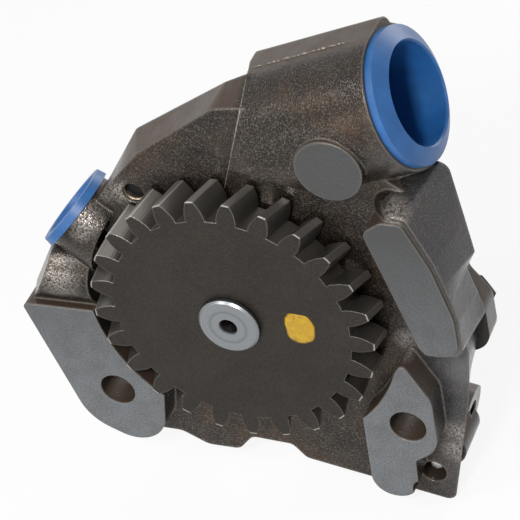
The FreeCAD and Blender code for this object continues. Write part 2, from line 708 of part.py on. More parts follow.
def inlet_plug():
    """Moulded plug, a wide coned lip and a deep tapered cup."""
    r = inlet_bore_r - plug_clear
    end = -inlet_plug_len
    profile = [(end, 0), (end, r - plug_taper), (0, r), (0, inlet_lip_r),
               (inlet_lip_t, inlet_lip_r), (inlet_lip_t + inlet_rim_up, inlet_rim_r),
               (inlet_lip_t + inlet_rim_up - 0.8, inlet_rim_r - 0.6),
               (end + plug_wall, r - plug_taper - plug_wall), (end + plug_wall, 0)]
    x, z = inlet_point(inlet_along, inlet_above)
    return turned(profile, inlet_angle, x, inlet_y, z)


def outlet_plug():
    r = outlet_bore_r - plug_clear
    end = -outlet_plug_len
    profile = [(end, 0), (end, r - plug_taper), (0, r), (0, outlet_lip_r),
               (outlet_lip_t, outlet_lip_r - 0.6), (outlet_lip_t, outlet_rim_r),
               (outlet_lip_t - outlet_dish, outlet_rim_r - 1.0), (outlet_lip_t - outlet_dish, 0)]
    return turned(profile, 180 - outlet_angle, outlet_x, outlet_y, outlet_z)


os.makedirs("parts", exist_ok=True)
save("pump_body", pump_body())
save("rear_housing", rear_housing())
save("housing_gasket", gasket())
save("drive_shaft", drive_shaft())
save("drive_gear", drive_gear())
save("thrust_washer", tube(gear_x, gear_z, thrust_r, journal_r + 0.3,
                           gear_back + end_play, floor_y - end_play))
save("pump_drive_gear", pump_gear(gear_x, 0.0, journal_r).cut(key_box(0)))
save("pump_gear_key", key_box(0))
save("pump_driven_gear", pump_gear(idler_x, pi / pump_teeth, idler_pin_r + run_clear + idler_wall))
save("idler_bush", tube(idler_x, gear_z, idler_pin_r + run_clear + idler_wall,
                        idler_pin_r + run_clear, pump_front, pump_back))
save("idler_shaft", rod(idler_x, gear_z, idler_pin_r, joint_y - idler_seat + 0.5,
                        pocket_y + idler_seat - 0.5))
save("front_bush", tube(gear_x, gear_z, bush_r, journal_r + run_clear, floor_y, joint_y))
save("rear_bush", tube(gear_x, gear_z, bush_r, journal_r + run_clear, pocket_y, shaft_back))
save("housing_bolts", bolts())
save("housing_washers", washers())
save("dowel_pins", dowels())
save("relief_plunger", relief_plunger())
save("relief_spring", relief_spring())
save("relief_spring_cup", relief_cup())
save("relief_pin", relief_pin())
save("inlet_plug", inlet_plug())
save("outlet_plug", outlet_plug())
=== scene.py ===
import functools
import math
import bmesh
import bpy
import numpy as np
from mathutils import Matrix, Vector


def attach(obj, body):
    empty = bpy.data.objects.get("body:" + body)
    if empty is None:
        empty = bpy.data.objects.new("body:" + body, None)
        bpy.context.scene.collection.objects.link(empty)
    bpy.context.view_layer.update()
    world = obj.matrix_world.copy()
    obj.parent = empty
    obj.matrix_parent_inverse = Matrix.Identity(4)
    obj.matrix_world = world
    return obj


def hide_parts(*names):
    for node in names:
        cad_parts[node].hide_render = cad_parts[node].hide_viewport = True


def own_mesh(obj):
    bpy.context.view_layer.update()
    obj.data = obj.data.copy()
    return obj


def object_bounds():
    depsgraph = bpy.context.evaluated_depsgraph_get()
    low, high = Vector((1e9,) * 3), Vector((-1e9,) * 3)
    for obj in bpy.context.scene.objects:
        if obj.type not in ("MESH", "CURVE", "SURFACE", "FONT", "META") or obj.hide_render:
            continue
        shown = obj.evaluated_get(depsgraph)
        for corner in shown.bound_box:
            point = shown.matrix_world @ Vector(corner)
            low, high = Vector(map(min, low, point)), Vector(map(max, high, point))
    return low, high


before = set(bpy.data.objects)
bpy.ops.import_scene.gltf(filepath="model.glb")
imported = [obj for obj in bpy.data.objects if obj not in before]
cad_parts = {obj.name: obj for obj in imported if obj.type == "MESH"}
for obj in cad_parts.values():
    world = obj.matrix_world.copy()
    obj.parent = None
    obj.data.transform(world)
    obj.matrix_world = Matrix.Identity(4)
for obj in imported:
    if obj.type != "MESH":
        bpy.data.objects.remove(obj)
cadBox = [list(corner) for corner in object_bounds()]
print("frame loaded:", len(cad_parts), "nodes")


# sRGB hex to linear RGBA: each channel c becomes ((c + 0.055) / 1.055) ** 2.4, or c / 12.92 when dark
def linearFromHex(code):
    channels = [int(code[i:i + 2], 16) / 255 for i in (1, 3, 5)]
    return [c / 12.92 if c <= 0.04045 else ((c + 0.055) / 1.055) ** 2.4 for c in channels] + [1.0]


# texture scale that repeats once in so many millimetres, because object coordinates are metres
def perMetre(millimetres):
    return 1000 / millimetres


# scale of a Wave texture whose rings repeat once in so many millimetres: its phase is 20 * scale * metres
def waveScale(millimetres):
    return perMetre(millimetres) * 2 * math.pi / 20


# adds one node and gives one of its outputs, or all of them when out is None; a socket value that is an
# output is linked, anything else is set on the socket; stops are a colour ramp's places and hex colours
def addNode(tree, kind, sockets=None, out=0, stops=(), **settings):
    node = tree.nodes.new("ShaderNode" + kind)
    for name, value in settings.items():
        setattr(node, name, value)
    for key, value in (sockets or {}).items():
        if isinstance(value, bpy.types.NodeSocket):
            tree.links.new(value, node.inputs[key])
        else:
            node.inputs[key].default_value = value
    for i, (place, code) in enumerate(stops):
        node.color_ramp.elements[i].position = place
        node.color_ramp.elements[i].color = linearFromHex(code)
    return node.outputs if out is None else node.outputs[out]


# empty material, and addNode for its own tree
def newMaterial(name):
    material = bpy.data.materials.new(name)
    material.use_nodes = True
    material.node_tree.nodes.clear()
    return material, functools.partial(addNode, material.node_tree)


# gives every face of an object one material
def dress(obj, material):
    obj.data.materials.clear()
    obj.data.materials.append(material)


# 0 on flat ground up to the given strength on edges, from how far the rounded normal turns away
def addWear(add, rounding, geometry, strength):
    turn = add("VectorMath", {0: rounding, 1: geometry["Normal"]}, out="Value", operation="DOT_PRODUCT")
    return add("MapRange", {"Value": turn, "From Min": 0.985, "From Max": 0.90, "To Max": strength})


# object coordinates centred on an axis along Y through the given x and z, and the distance from that axis
def addAxis(add, place, axis):
    centred = add("Mapping", {"Vector": place, "Location": (-axis[0], 0, -axis[1])})
    across = add("VectorMath", {0: centred, 1: (1, 0, 1)}, operation="MULTIPLY")
    return centred, add("VectorMath", {0: across}, out="Value", operation="LENGTH")


# lays coats of one colour each over a first colour, from pairs of mask and hex
def addCoats(add, colour, coats):
    for mask, code in coats:
        colour = add("Mix", {0: mask, 6: colour, 7: linearFromHex(code)}, out=2, data_type="RGBA")
    return colour


# grey iron, sand cast, then oiled: gritty dark skin with brown stains, pale grain tips painted to stand in for
# glints, painted highlights on listed humps, and painted shade in the corners; oil film and painted shade on faces
# that look upwards; the pads and the spot are milled flat and paler, with painted shade higher up, and worn edges
# catch the light
castIron = {
    "gritMm": 0.8,                 # sand grain, drawn a little coarse so that it shows
    "tipMm": 0.6,                  # spacing of the pale grain tips that are painted to stand in for glints, drawn coarse for the same reason
    "lumpMm": 9.0,                 # waviness of the mould's wall
    "stainMm": 26.0,               # patches of brown
    "cornerShadeMm": 14.0,                # how far from a corner the painted shade reaches
    "millMm": 2.4,                 # milling marks, drawn coarser than the real feed so that they show
    "scuffMm": 0.7,                # scuffs on the milled faces
    # the corner colour is painted shade, and the tip colour is pale specks painted to stand in for glints
    "dark": "#1b1714", "light": "#38312b", "rust": "#48331f", "cornerShade": "#0b0908", "tip": "#6b645c",
    "edge": "#8d877f",             # worn edges
    "oilFilmAndShade": "#46392f",             # dried oil on the faces that look upwards, and painted shade there
    "wallTopX": (0.0105, 0.0085),  # the wall's sloping top, left of the boss and above the small port: there the oil film and its painted shade reach further forward
    "wallTopZ": (0.098, 0.104),    # there the film reaches further forward
    "bare": "#47484c",             # the side wall, greyer to the right of these x
    "bareX": (0.060, 0.074),
    "palePatch": "#6c6e71",          # a paler grey patch low on the side wall: x, y, z and reach, metres
    "palePatchAt": (0.0780, 0.006, 0.0300, 0.0230),
    "paintedHighlight": "#a7a099",           # painted highlights on listed humps, where the metal is also made brighter: x, y, z and reach
    "paintedHighlightAt": [(-0.0745, 0.002, 0.0530, 0.0062), (-0.0571, 0.004, 0.0827, 0.0048),
                 (-0.0503, 0.006, 0.0905, 0.0048), (-0.0440, 0.011, 0.0915, 0.0042),
                 (-0.0600, 0.004, 0.0765, 0.0032), (0.0671, 0.003, 0.1015, 0.0046),
                 (0.0611, 0.008, 0.0334, 0.0042), (0.0743, 0.013, -0.0200, 0.0052),
                 (0.0760, 0.012, -0.0110, 0.0044), (0.0432, 0.015, 0.0640, 0.0046)],
    "milled": "#7c8186", "milledShade": "#4c4f53", "milledOil": "#49453f",
    "milledY": 0.0004,             # faces in front of this depth are the machined plane, metres
    "milledShadeZ": (0.0, 0.09),    # painted shade: the milled faces are darker higher up, between these z
    "edgeRound": 0.0014, "edgeWear": 0.5,
    "bumpDepth": 0.00024,
}


def makeCastIron(name, look):
    material, add = newMaterial(name)
    place = add("TexCoord", out="Object")
    x, y, z = add("SeparateXYZ", {0: place}, out=None)
    geometry = add("NewGeometry", out=None)
    normal = add("SeparateXYZ", {0: geometry["True Normal"]}, out=None)
    grit, lump, stain, fleck, scuff = [
        add("TexNoise", {"Vector": place, "Scale": perMetre(look[size]), "Detail": detail, "Roughness": 0.6},
            out="Fac")
        for size, detail in (("gritMm", 2.0), ("lumpMm", 4.0), ("stainMm", 5.0), ("tipMm", 1.0), ("scuffMm", 2.0))]

    # the cast skin: stains, the greyer side wall with a paler patch low on it, and painted shade in the corners
    rusty = add("MapRange", {"Value": stain, "From Min": 0.48, "From Max": 0.66, "To Max": 0.6})
    bare = add("MapRange", {"Value": x, "From Min": look["bareX"][0], "From Max": look["bareX"][1], "To Max": 0.75})
    *centre, reach = look["palePatchAt"]
    away = add("VectorMath", {0: place, 1: centre}, out="Value", operation="DISTANCE")
    inside = add("MapRange", {"Value": away, "From Min": reach, "From Max": reach * 0.35, "To Max": 0.8})
    patchy = add("MapRange", {"Value": lump, "From Min": 0.25, "From Max": 0.55})
    palePatch = add("Math", {0: inside, 1: patchy}, operation="MULTIPLY")
    # painted shade: ambient occlusion darkens the corners
    corner = add("AmbientOcclusion", {"Distance": look["cornerShadeMm"] / 1000}, out="AO", samples=6)
    paintedCornerShade = add("MapRange", {"Value": corner, "From Min": 0.85, "From Max": 0.25, "To Max": 0.5})

    # oil film and painted shade where a face looks up: as far forward as the boss's crown edge, and further on the
    # wall's top
    upwards = add("MapRange", {"Value": normal[2], "From Min": 0.25, "From Max": 0.45})
    onCrown = add("MapRange", {"Value": normal[1], "From Min": -0.22, "From Max": -0.05})
    onSlope = add("MapRange", {"Value": normal[1], "From Min": -0.60, "From Max": -0.45})
    for value, limits in ((x, look["wallTopX"]), (z, look["wallTopZ"])):
        within = add("MapRange", {"Value": value, "From Min": limits[0], "From Max": limits[1]})
        onSlope = add("Math", {0: onSlope, 1: within}, operation="MULTIPLY")
    forward = add("Math", {0: onCrown, 1: onSlope}, operation="MAXIMUM")
    oilFilmAndShade = add("Math", {0: upwards, 1: forward}, operation="MULTIPLY")
    oilFilmAndShadeCoat = add("Math", {0: oilFilmAndShade, 1: 0.85}, operation="MULTIPLY")

    # pale tips of the grain, painted to stand in for glints, fewer in the painted shade and under the film
    tips = add("MapRange", {"Value": fleck, "From Min": 0.50, "From Max": 0.74})
    unshaded = add("Math", {0: 0.75, 1: paintedCornerShade}, operation="SUBTRACT")
    dry = add("MapRange", {"Value": oilFilmAndShade, "To Min": 1.0, "To Max": 0.2})
    for share in (unshaded, dry):
        tips = add("Math", {0: tips, 1: share}, operation="MULTIPLY")

    # painted highlights on the listed humps, broken up by the grit
    near = 0.0
    for *centre, reach in look["paintedHighlightAt"]:
        away = add("VectorMath", {0: place, 1: centre}, out="Value", operation="DISTANCE")
        close = add("MapRange", {"Value": away, "From Min": reach * 1.7, "From Max": reach * 0.3})
        near = add("Math", {0: close, 1: near}, operation="MAXIMUM")
    gritty = add("MapRange", {"Value": grit, "From Min": 0.38, "From Max": 0.62})
    paintedHighlight = add("Math", {0: near, 1: gritty}, operation="MULTIPLY")

    skin = add("ValToRGB", {"Fac": lump}, stops=[(0.30, look["dark"]), (0.72, look["light"])])
    skin = addCoats(add, skin, [(rusty, look["rust"]), (bare, look["bare"]), (palePatch, look["palePatch"]),
                                (paintedCornerShade, look["cornerShade"]), (oilFilmAndShadeCoat, look["oilFilmAndShade"]), (tips, look["tip"]),
                                (paintedHighlight, look["paintedHighlight"])])

    # machined faces look straight forward and lie in the front plane
    facing = add("Math", {0: normal[1], 1: -0.98}, operation="LESS_THAN")
    inFront = add("Math", {0: y, 1: look["milledY"]}, operation="LESS_THAN")
    machined = add("Math", {0: facing, 1: inFront}, operation="MULTIPLY")
    # painted shade on the milled faces, darker higher up
    high = add("MapRange", {"Value": z, "From Min": look["milledShadeZ"][0], "From Max": look["milledShadeZ"][1]})
    swirl = add("TexWave", {"Vector": place, "Scale": waveScale(look["millMm"]), "Distortion": 7.0, "Detail": 2.0,
                            "Detail Scale": 2.0}, out="Fac", wave_type="RINGS", rings_direction="Y")
    swirl = add("Math", {0: swirl, 1: 0.05}, operation="MULTIPLY")
    oiled = add("MapRange", {"Value": lump, "From Min": 0.40, "From Max": 0.75, "To Max": 0.40})
    scuffed = add("MapRange", {"Value": scuff, "From Min": 0.38, "From Max": 0.64, "To Max": 0.55})
    milled = addCoats(add, linearFromHex(look["milled"]), [
        (high, look["milledShade"]), (swirl, look["edge"]), (oiled, look["milledOil"]), (scuffed, look["milledOil"])])

    rounding = add("Bevel", {"Radius": look["edgeRound"]}, samples=4)
    worn = addWear(add, rounding, geometry, look["edgeWear"])
    colour = add("Mix", {0: machined, 6: skin, 7: milled}, out=2, data_type="RGBA")
    colour = addCoats(add, colour, [(worn, look["edge"])])

    # the metal is brighter under the painted highlights, filmed and milled faces are duller, and milled faces are
    # flat
    bright = add("Math", {0: paintedHighlight, 1: 0.45, 2: 0.5}, operation="MULTIPLY_ADD")
    unfilmed = add("MapRange", {"Value": oilFilmAndShade, "To Min": 1.0, "To Max": 0.4})
    bright = add("Math", {0: bright, 1: unfilmed}, operation="MULTIPLY")
    rough = add("MapRange", {"Value": lump, "From Min": 0.3, "From Max": 0.7, "To Min": 0.30, "To Max": 0.17})
    for mask, share in ((machined, 0.22), (oilFilmAndShade, 0.25)):
        rough = add("Math", {0: mask, 1: share, 2: rough}, operation="MULTIPLY_ADD")
    height = add("Math", {0: lump, 1: 1.5, 2: grit}, operation="MULTIPLY_ADD")
    strength = add("MapRange", {"Value": machined, "To Min": 0.8, "To Max": 0.056})
    bump = add("Bump", {"Strength": strength, "Distance": look["bumpDepth"], "Height": height, "Normal": rounding})
    shader = add("BsdfPrincipled", {"Base Color": colour, "Metallic": bright, "Roughness": rough,
                                    "Specular IOR Level": 0.35, "Normal": bump,
                                    "Coat Weight": 0.1, "Coat Roughness": 0.14})
    add("OutputMaterial", {"Surface": shader}, out=None)
    return material


shaftAxis = (-0.0018, 0.0465)    # x and z of the drive shaft, metres

# alloy steel, hobbed and shaved, dark with burnt oil: even brown-grey face with faint turning rings,
# paler flanks, and tooth crests worn palest
gearSteel = {
    "crestRadius": 0.0556,       # where the crests begin, metres
    "face": "#211d19", "faceLight": "#322c26", "crest": "#b4b0aa", "flank": "#7c7873",
    "oilMm": 18.0, "grainMm": 0.7,
    "ringMm": 1.2,               # turning rings, drawn coarser than the real feed so that they show
    "edgeRound": 0.0006, "edgeWear": 0.25,
}


def makeGearSteel(name, look):
    material, add = newMaterial(name)
    place = add("TexCoord", out="Object")
    centred, radius = addAxis(add, place, shaftAxis)
    geometry = add("NewGeometry", out=None)
    normal = add("SeparateXYZ", {0: geometry["True Normal"]}, out=None)
    oil, grain = [
        add("TexNoise", {"Vector": place, "Scale": perMetre(look[size]), "Detail": detail, "Roughness": 0.6},
            out="Fac")
        for size, detail in (("oilMm", 5.0), ("grainMm", 2.0))]
    rings = add("TexWave", {"Vector": centred, "Scale": waveScale(look["ringMm"]), "Distortion": 1.5, "Detail": 2.0,
                            "Detail Scale": 2.0}, out="Fac", wave_type="RINGS", rings_direction="Y")

    # the face is 35 parts oil patches to 65 parts grain
    mottle = add("Math", {0: grain, 1: 0.65}, operation="MULTIPLY")
    mottle = add("Math", {0: oil, 1: 0.35, 2: mottle}, operation="MULTIPLY_ADD")
    face = add("ValToRGB", {"Fac": mottle}, stops=[(0.40, look["face"]), (0.60, look["faceLight"])])
    sideways = add("MapRange", {"Value": normal[1], "From Min": -0.98, "From Max": -0.80})
    crest = add("MapRange", {"Value": radius, "From Min": look["crestRadius"],
                             "From Max": look["crestRadius"] + 0.0004, "To Max": 0.8})
    rounding = add("Bevel", {"Radius": look["edgeRound"]}, samples=4)
    worn = add("Math", {0: crest, 1: addWear(add, rounding, geometry, look["edgeWear"])}, operation="MAXIMUM")
    colour = addCoats(add, face, [(sideways, look["flank"]), (worn, look["crest"])])

    # flanks and crests run against other metal, so they are brighter and smoother than the face
    bright = add("MapRange", {"Value": sideways, "To Min": 0.5, "To Max": 0.85})
    rough = add("MapRange", {"Value": sideways, "To Min": 0.45, "To Max": 0.28})
    height = add("Math", {0: rings, 1: 0.5, 2: grain}, operation="MULTIPLY_ADD")
    bump = add("Bump", {"Strength": 0.18, "Distance": 0.0002, "Height": height, "Normal": rounding})
    shader = add("BsdfPrincipled", {"Base Color": colour, "Metallic": bright, "Roughness": rough, "Normal": bump})
    add("OutputMaterial", {"Surface": shader}, out=None)
    return material


# bright steel, turned: fine rings round the axis, one wider darker ring left by the tool, and painted
# shade in the centre hole and in the corners
turnedSteel = {
    # the hole colour is painted shade
    "base": "#8e9295", "dark": "#84888b", "groove": "#5f6265", "hole": "#1c1a19",
    "ringMm": 0.9,               # turning rings, drawn coarser than the real feed so that they show
    "grooveAt": 0.0072, "grooveWide": 0.0009,
    "holeShadeEdge": (0.0038, 0.0032),    # painted shade darkens the centre hole between these radii, metres
}


def makeTurnedSteel(name, look):
    material, add = newMaterial(name)
    centred, radius = addAxis(add, add("TexCoord", out="Object"), shaftAxis)
    rings = add("TexWave", {"Vector": centred, "Scale": waveScale(look["ringMm"]), "Distortion": 1.0, "Detail": 2.0,
                            "Detail Scale": 3.0}, out="Fac", wave_type="RINGS", rings_direction="Y")
    turned = add("ValToRGB", {"Fac": rings}, stops=[(0.2, look["dark"]), (0.8, look["base"])])
    offRing = add("Math", {0: radius, 1: look["grooveAt"]}, operation="SUBTRACT")
    offRing = add("Math", {0: offRing}, operation="ABSOLUTE")
    groove = add("MapRange", {"Value": offRing, "From Min": look["grooveWide"], "From Max": 0.0, "To Max": 0.5})
    # painted shade: ambient occlusion darkens the corners, and the centre hole is darkened
    corner = add("AmbientOcclusion", {"Distance": 0.004}, out="AO", samples=6)
    shaded = add("MapRange", {"Value": corner, "From Min": 0.90, "From Max": 0.60})
    inHole = add("MapRange", {"Value": radius, "From Min": look["holeShadeEdge"][0], "From Max": look["holeShadeEdge"][1]})
    deep = add("Math", {0: shaded, 1: inHole}, operation="MAXIMUM")
    colour = addCoats(add, turned, [(groove, look["groove"]), (deep, look["hole"])])
    bump = add("Bump", {"Strength": 0.2, "Distance": 0.00005, "Height": rings})
    shader = add("BsdfPrincipled", {"Base Color": colour, "Metallic": 0.8, "Roughness": 0.34, "Normal": bump})
    add("OutputMaterial", {"Surface": shader}, out=None)
    return material


# low-density polyethylene, injection moulded: waxy bright blue, a little light passes into it
bluePolyethylene = {"blue": "#2562a0", "deep": "#1f558f", "cloudMm": 6.0}


def makePolyethylene(name, look):
    material, add = newMaterial(name)
    place = add("TexCoord", out="Object")
    cloud = add("TexNoise", {"Vector": place, "Scale": perMetre(look["cloudMm"]), "Detail": 3.0}, out="Fac")
    colour = add("ValToRGB", {"Fac": cloud}, stops=[(0.3, look["deep"]), (0.7, look["blue"])])
    bump = add("Bump", {"Strength": 0.08, "Distance": 0.0003, "Height": cloud})
    shader = add("BsdfPrincipled", {"Base Color": colour, "Roughness": 0.42, "IOR": 1.51, "Normal": bump,
                                    "Subsurface Weight": 0.15, "Subsurface Scale": 0.002})
    add("OutputMaterial", {"Surface": shader}, out=None)
    return material


# finishes of the small parts, each with a fine grain in colour and relief
plainFinishes = {
    # pins and key, ground: bright and even
    "steelGround": {"base": "#c9cac8", "dark": "#a8a9a7", "rough": 0.22, "metallic": 0.85},
    # bearing bronze, bored: warm and satin
    "bronzeBored": {"base": "#a8824c", "dark": "#8a6638", "rough": 0.35, "metallic": 0.85},
    # bolts and washers, blackened in hot oil: dark with a dull gleam
    "steelBlackened": {"base": "#2a2a2b", "dark": "#1b1b1c", "rough": 0.45, "metallic": 0.6},
    # spring wire, drawn: grey and smooth
    "springSteelDrawn": {"base": "#8a8c90", "dark": "#6f7176", "rough": 0.3, "metallic": 0.85},
    # fibre sheet, rolled: dark and dry
    "gasketSheetRolled": {"base": "#2b2724", "dark": "#201d1b", "rough": 0.8, "metallic": 0.0},
    # iron where the thread was tapped: pale and warm
    "ironTapped": {"base": "#c2b29e", "dark": "#8f7a64", "rough": 0.3, "metallic": 0.85},
    # thin iron flash, half ground away: pale and dull
    "ironFlashGround": {"base": "#8a8279", "dark": "#625b53", "rough": 0.4, "metallic": 0.85},
}
plainGrainMm = 0.8               # grain of the plain finishes, drawn coarse so that it shows


def makePlain(name, look):
    material, add = newMaterial(name)
    place = add("TexCoord", out="Object")
    grain = add("TexNoise", {"Vector": place, "Scale": perMetre(plainGrainMm), "Detail": 3.0}, out="Fac")
    colour = add("ValToRGB", {"Fac": grain}, stops=[(0.3, look["dark"]), (0.7, look["base"])])
    rounding = add("Bevel", {"Radius": 0.0004}, samples=4)
    bump = add("Bump", {"Strength": 0.15, "Distance": 0.0001, "Height": grain, "Normal": rounding})
    shader = add("BsdfPrincipled", {"Base Color": colour, "Metallic": look["metallic"], "Roughness": look["rough"],
                                    "Normal": bump})
    add("OutputMaterial", {"Surface": shader}, out=None)
    return material


plain = {name: makePlain(name, look) for name, look in plainFinishes.items()}
bodyIron = makeCastIron("greyIronSandCastMilled", castIron)
housingIron = makeCastIron("greyIronSandCast", {**castIron, "milledY": -1.0})    # nothing milled in front
hobbedSteel = makeGearSteel("alloySteelHobbed", gearSteel)
shaftSteel = makeTurnedSteel("brightSteelTurned", turnedSteel)
plugBlue = makePolyethylene("polyethyleneMoulded", bluePolyethylene)

finishes = {
    "pump_body": bodyIron, "rear_housing": housingIron, "housing_gasket": plain["gasketSheetRolled"],
    "drive_shaft": shaftSteel, "drive_gear": hobbedSteel, "thrust_washer": plain["bronzeBored"],
    "pump_drive_gear": hobbedSteel, "pump_gear_key": plain["steelGround"], "pump_driven_gear": hobbedSteel,
    "idler_bush": plain["bronzeBored"], "idler_shaft": shaftSteel, "front_bush": plain["bronzeBored"],
    "rear_bush": plain["bronzeBored"], "housing_bolts": plain["steelBlackened"],
    "housing_washers": plain["steelBlackened"], "dowel_pins": plain["steelGround"],
    "relief_plunger": shaftSteel, "relief_spring": plain["springSteelDrawn"], "relief_spring_cup": shaftSteel,
    "relief_pin": plain["steelGround"], "inlet_plug": plugBlue, "outlet_plug": plugBlue,
}
for nodeName, finish in finishes.items():
    dress(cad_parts[nodeName], finish)
print("materials on", len(finishes), "nodes")


# closed mesh from rings of points, one row to a ring: neighbouring rings are joined by quads, the first
# and last are capped, and the faces are turned outwards
def makeTube(name, rings, smooth=True):
    rows, columns = rings.shape[:2]
    start, j = np.meshgrid(np.arange(rows - 1) * columns, np.arange(columns), indexing="ij")
    over = (j + 1) % columns
    quads = np.stack([start + j, start + over, start + columns + over, start + columns + j], -1).reshape(-1, 4)
    caps = [list(range(columns)), list(range((rows - 1) * columns, rows * columns))]
    mesh = bpy.data.meshes.new(name)
    mesh.from_pydata(rings.reshape(-1, 3).tolist(), [], quads.tolist() + caps)
    mesh.polygons.foreach_set("use_smooth", [smooth] * len(quads) + [False] * len(caps))
    work = bmesh.new()
    work.from_mesh(mesh)
    bmesh.ops.recalc_face_normals(work, faces=work.faces)
    work.to_mesh(mesh)
    work.free()
    obj = bpy.data.objects.new(name, mesh)
    bpy.context.scene.collection.objects.link(obj)
    return obj


# circles of the given radii round the points of a line, each in the plane of the directions a and b
def ringsAlong(line, radii, a, b, steps):
    around = np.linspace(0, 2 * np.pi, steps, endpoint=False)[None, :, None]
    return line[:, None, :] + radii[:, None, None] * (np.cos(around) * a + np.sin(around) * b)


# 1 along the middle, down to a tenth at both ends: 0.1 + 0.9 * sin ** 0.25 over half a turn
def tapered(count):
    return 0.1 + 0.9 * np.sin(np.linspace(0, np.pi, count)) ** 0.25


# directions of an axis that leans up from +X by so many degrees: along it, up across it, and forwards
def leaningAxis(degrees):
    a = math.radians(degrees)
    return (np.array([math.cos(a), 0, math.sin(a)]), np.array([-math.sin(a), 0, math.cos(a)]),
            np.array([0.0, -1.0, 0.0]))


# dab of yellow paint on the gear's face, metres
paintDab = {"centre": (0.0259, 0.0475), "size": (0.0058, 0.0070), "power": 2.8, "thick": 0.0002,
            "front": -0.0046, "paint": "#bb9612", "thin": "#a5800c", "bare": "#4a3a1c", "streakMm": 2.5,
            "speckMm": 1.4}


# a superellipse |x/a|^p + |z/b|^p = 1 with a wavy edge, filled in polar steps r from 0.04 to 1; its
# height is 1 - r^6 of the thickness
def makeDab(look):
    around = np.linspace(0, 2 * np.pi, 64, endpoint=False)
    share = np.linspace(0.04, 1, 10)[:, None]
    a, b = look["size"]
    power = look["power"]
    reach = (np.abs(np.cos(around) / a) ** power + np.abs(np.sin(around) / b) ** power) ** (-1 / power)
    wavy = 1 + 0.03 * np.sin(3 * around + 1.0) + 0.02 * np.sin(7 * around)
    r = share * reach * wavy
    x = look["centre"][0] + r * np.cos(around)
    z = look["centre"][1] + r * np.sin(around)
    y = np.broadcast_to(look["front"] - look["thick"] * (1 - share ** 6), r.shape)
    return makeTube("paintDab", np.stack([x, y, z], -1))


# enamel dabbed on with a brush: glossy, a little uneven, with a few specks where the steel shows through
def makeEnamel(name, look):
    material, add = newMaterial(name)
    place = add("TexCoord", out="Object")
    streak, fleck = [
        add("TexNoise", {"Vector": place, "Scale": perMetre(look[size]), "Detail": detail, "Roughness": 0.6},
            out="Fac")
        for size, detail in (("streakMm", 3.0), ("speckMm", 1.0))]
    paint = add("ValToRGB", {"Fac": streak}, stops=[(0.3, look["thin"]), (0.65, look["paint"])])
    speck = add("MapRange", {"Value": fleck, "From Min": 0.35, "From Max": 0.30, "To Max": 0.7})
    colour = addCoats(add, paint, [(speck, look["bare"])])
    bump = add("Bump", {"Strength": 0.3, "Distance": 0.0002, "Height": streak})
    shader = add("BsdfPrincipled", {"Base Color": colour, "Roughness": 0.32, "Normal": bump})
    add("OutputMaterial", {"Surface": shader}, out=None)
    return material


dab = makeDab(paintDab)
dress(dab, makeEnamel("enamelBrushed", paintDab))
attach(dab, "drive")
print("paint dab placed")


# thread at the open end of the tapped hole at the upper left, metres
holeThread = {"centre": (-0.0388, 0.0912), "coreR": 0.00425, "pitch": 0.0015, "depth": 0.00045,
              "bite": 0.00005,    # how far the thread's foot lies inside the wall
              "front": 0.0111, "back": 0.0139}


# a helix with a triangular section: the crest stands in by the depth, the other two corners lie just
# inside the wall, and y climbs one pitch per turn
def makeThread(look):
    turns = (look["back"] - look["front"]) / look["pitch"] - 1
    angle = np.linspace(0, 2 * np.pi * turns, int(48 * turns))[:, None]
    r = look["coreR"] + np.array([[look["bite"], -look["depth"], look["bite"]]])
    along = np.array([[-0.45, 0.0, 0.45]])
    x = look["centre"][0] + r * np.cos(angle)
    z = look["centre"][1] + r * np.sin(angle)
    y = look["front"] + look["pitch"] * (angle / (2 * np.pi) + 0.5 + along)
    return makeTube("holeThread", np.stack([x, y, z], -1), smooth=False)


thread = makeThread(holeThread)
dress(thread, plain["ironTapped"])
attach(thread, "casing")
print("thread cut")


# boss of the large port, metres and degrees
portBoss = {"lean": 20.4, "axisAt": (-0.02146, 0.028, 0.09936), "radius": 0.0266}

# flash along the boss's left end, which is a plane that leans and drifts back
partingFlash = {"planeAt": (-0.016, 0.0, 0.0465), "planeLean": 70.7, "planeDrift": -0.249,
                "from": -8.0, "to": 88.0, "bead": 0.00040, "steps": 90}


# on the boss the point at angle f is axisAt + s * along + radius * (cos f * front + sin f * up); s is
# solved so that the point lies in the end plane, and a bead of uneven circles follows these points
def makeFlash(look, boss):
    along, up, front = leaningAxis(boss["lean"])
    lean = math.radians(look["planeLean"])
    normal = np.cross([math.cos(lean), 0, math.sin(lean)], [look["planeDrift"], 1.0, 0.0])
    f = np.radians(np.linspace(look["from"], look["to"], look["steps"]))[:, None]
    out = np.cos(f) * front + np.sin(f) * up
    rim = np.array(boss["axisAt"]) + boss["radius"] * out
    s = -((rim - np.array(look["planeAt"])) @ normal) / (along @ normal)
    step = np.arange(look["steps"])
    ragged = 0.75 + 0.25 * np.sin(1.9 * step) * np.sin(0.37 * step)
    radii = look["bead"] * ragged * tapered(look["steps"])
    return makeTube("partingFlash", ringsAlong(rim + s[:, None] * along, radii, out[:, None, :], along, 10))


flash = makeFlash(partingFlash, portBoss)
dress(flash, plain["ironFlashGround"])
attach(flash, "casing")
print("parting flash laid")


# ragged ridge along the front edge of the boss's flat crown, metres along the boss
crownRidge = {"from": 0.045, "to": 0.0865, "bead": 0.0007, "steps": 120}


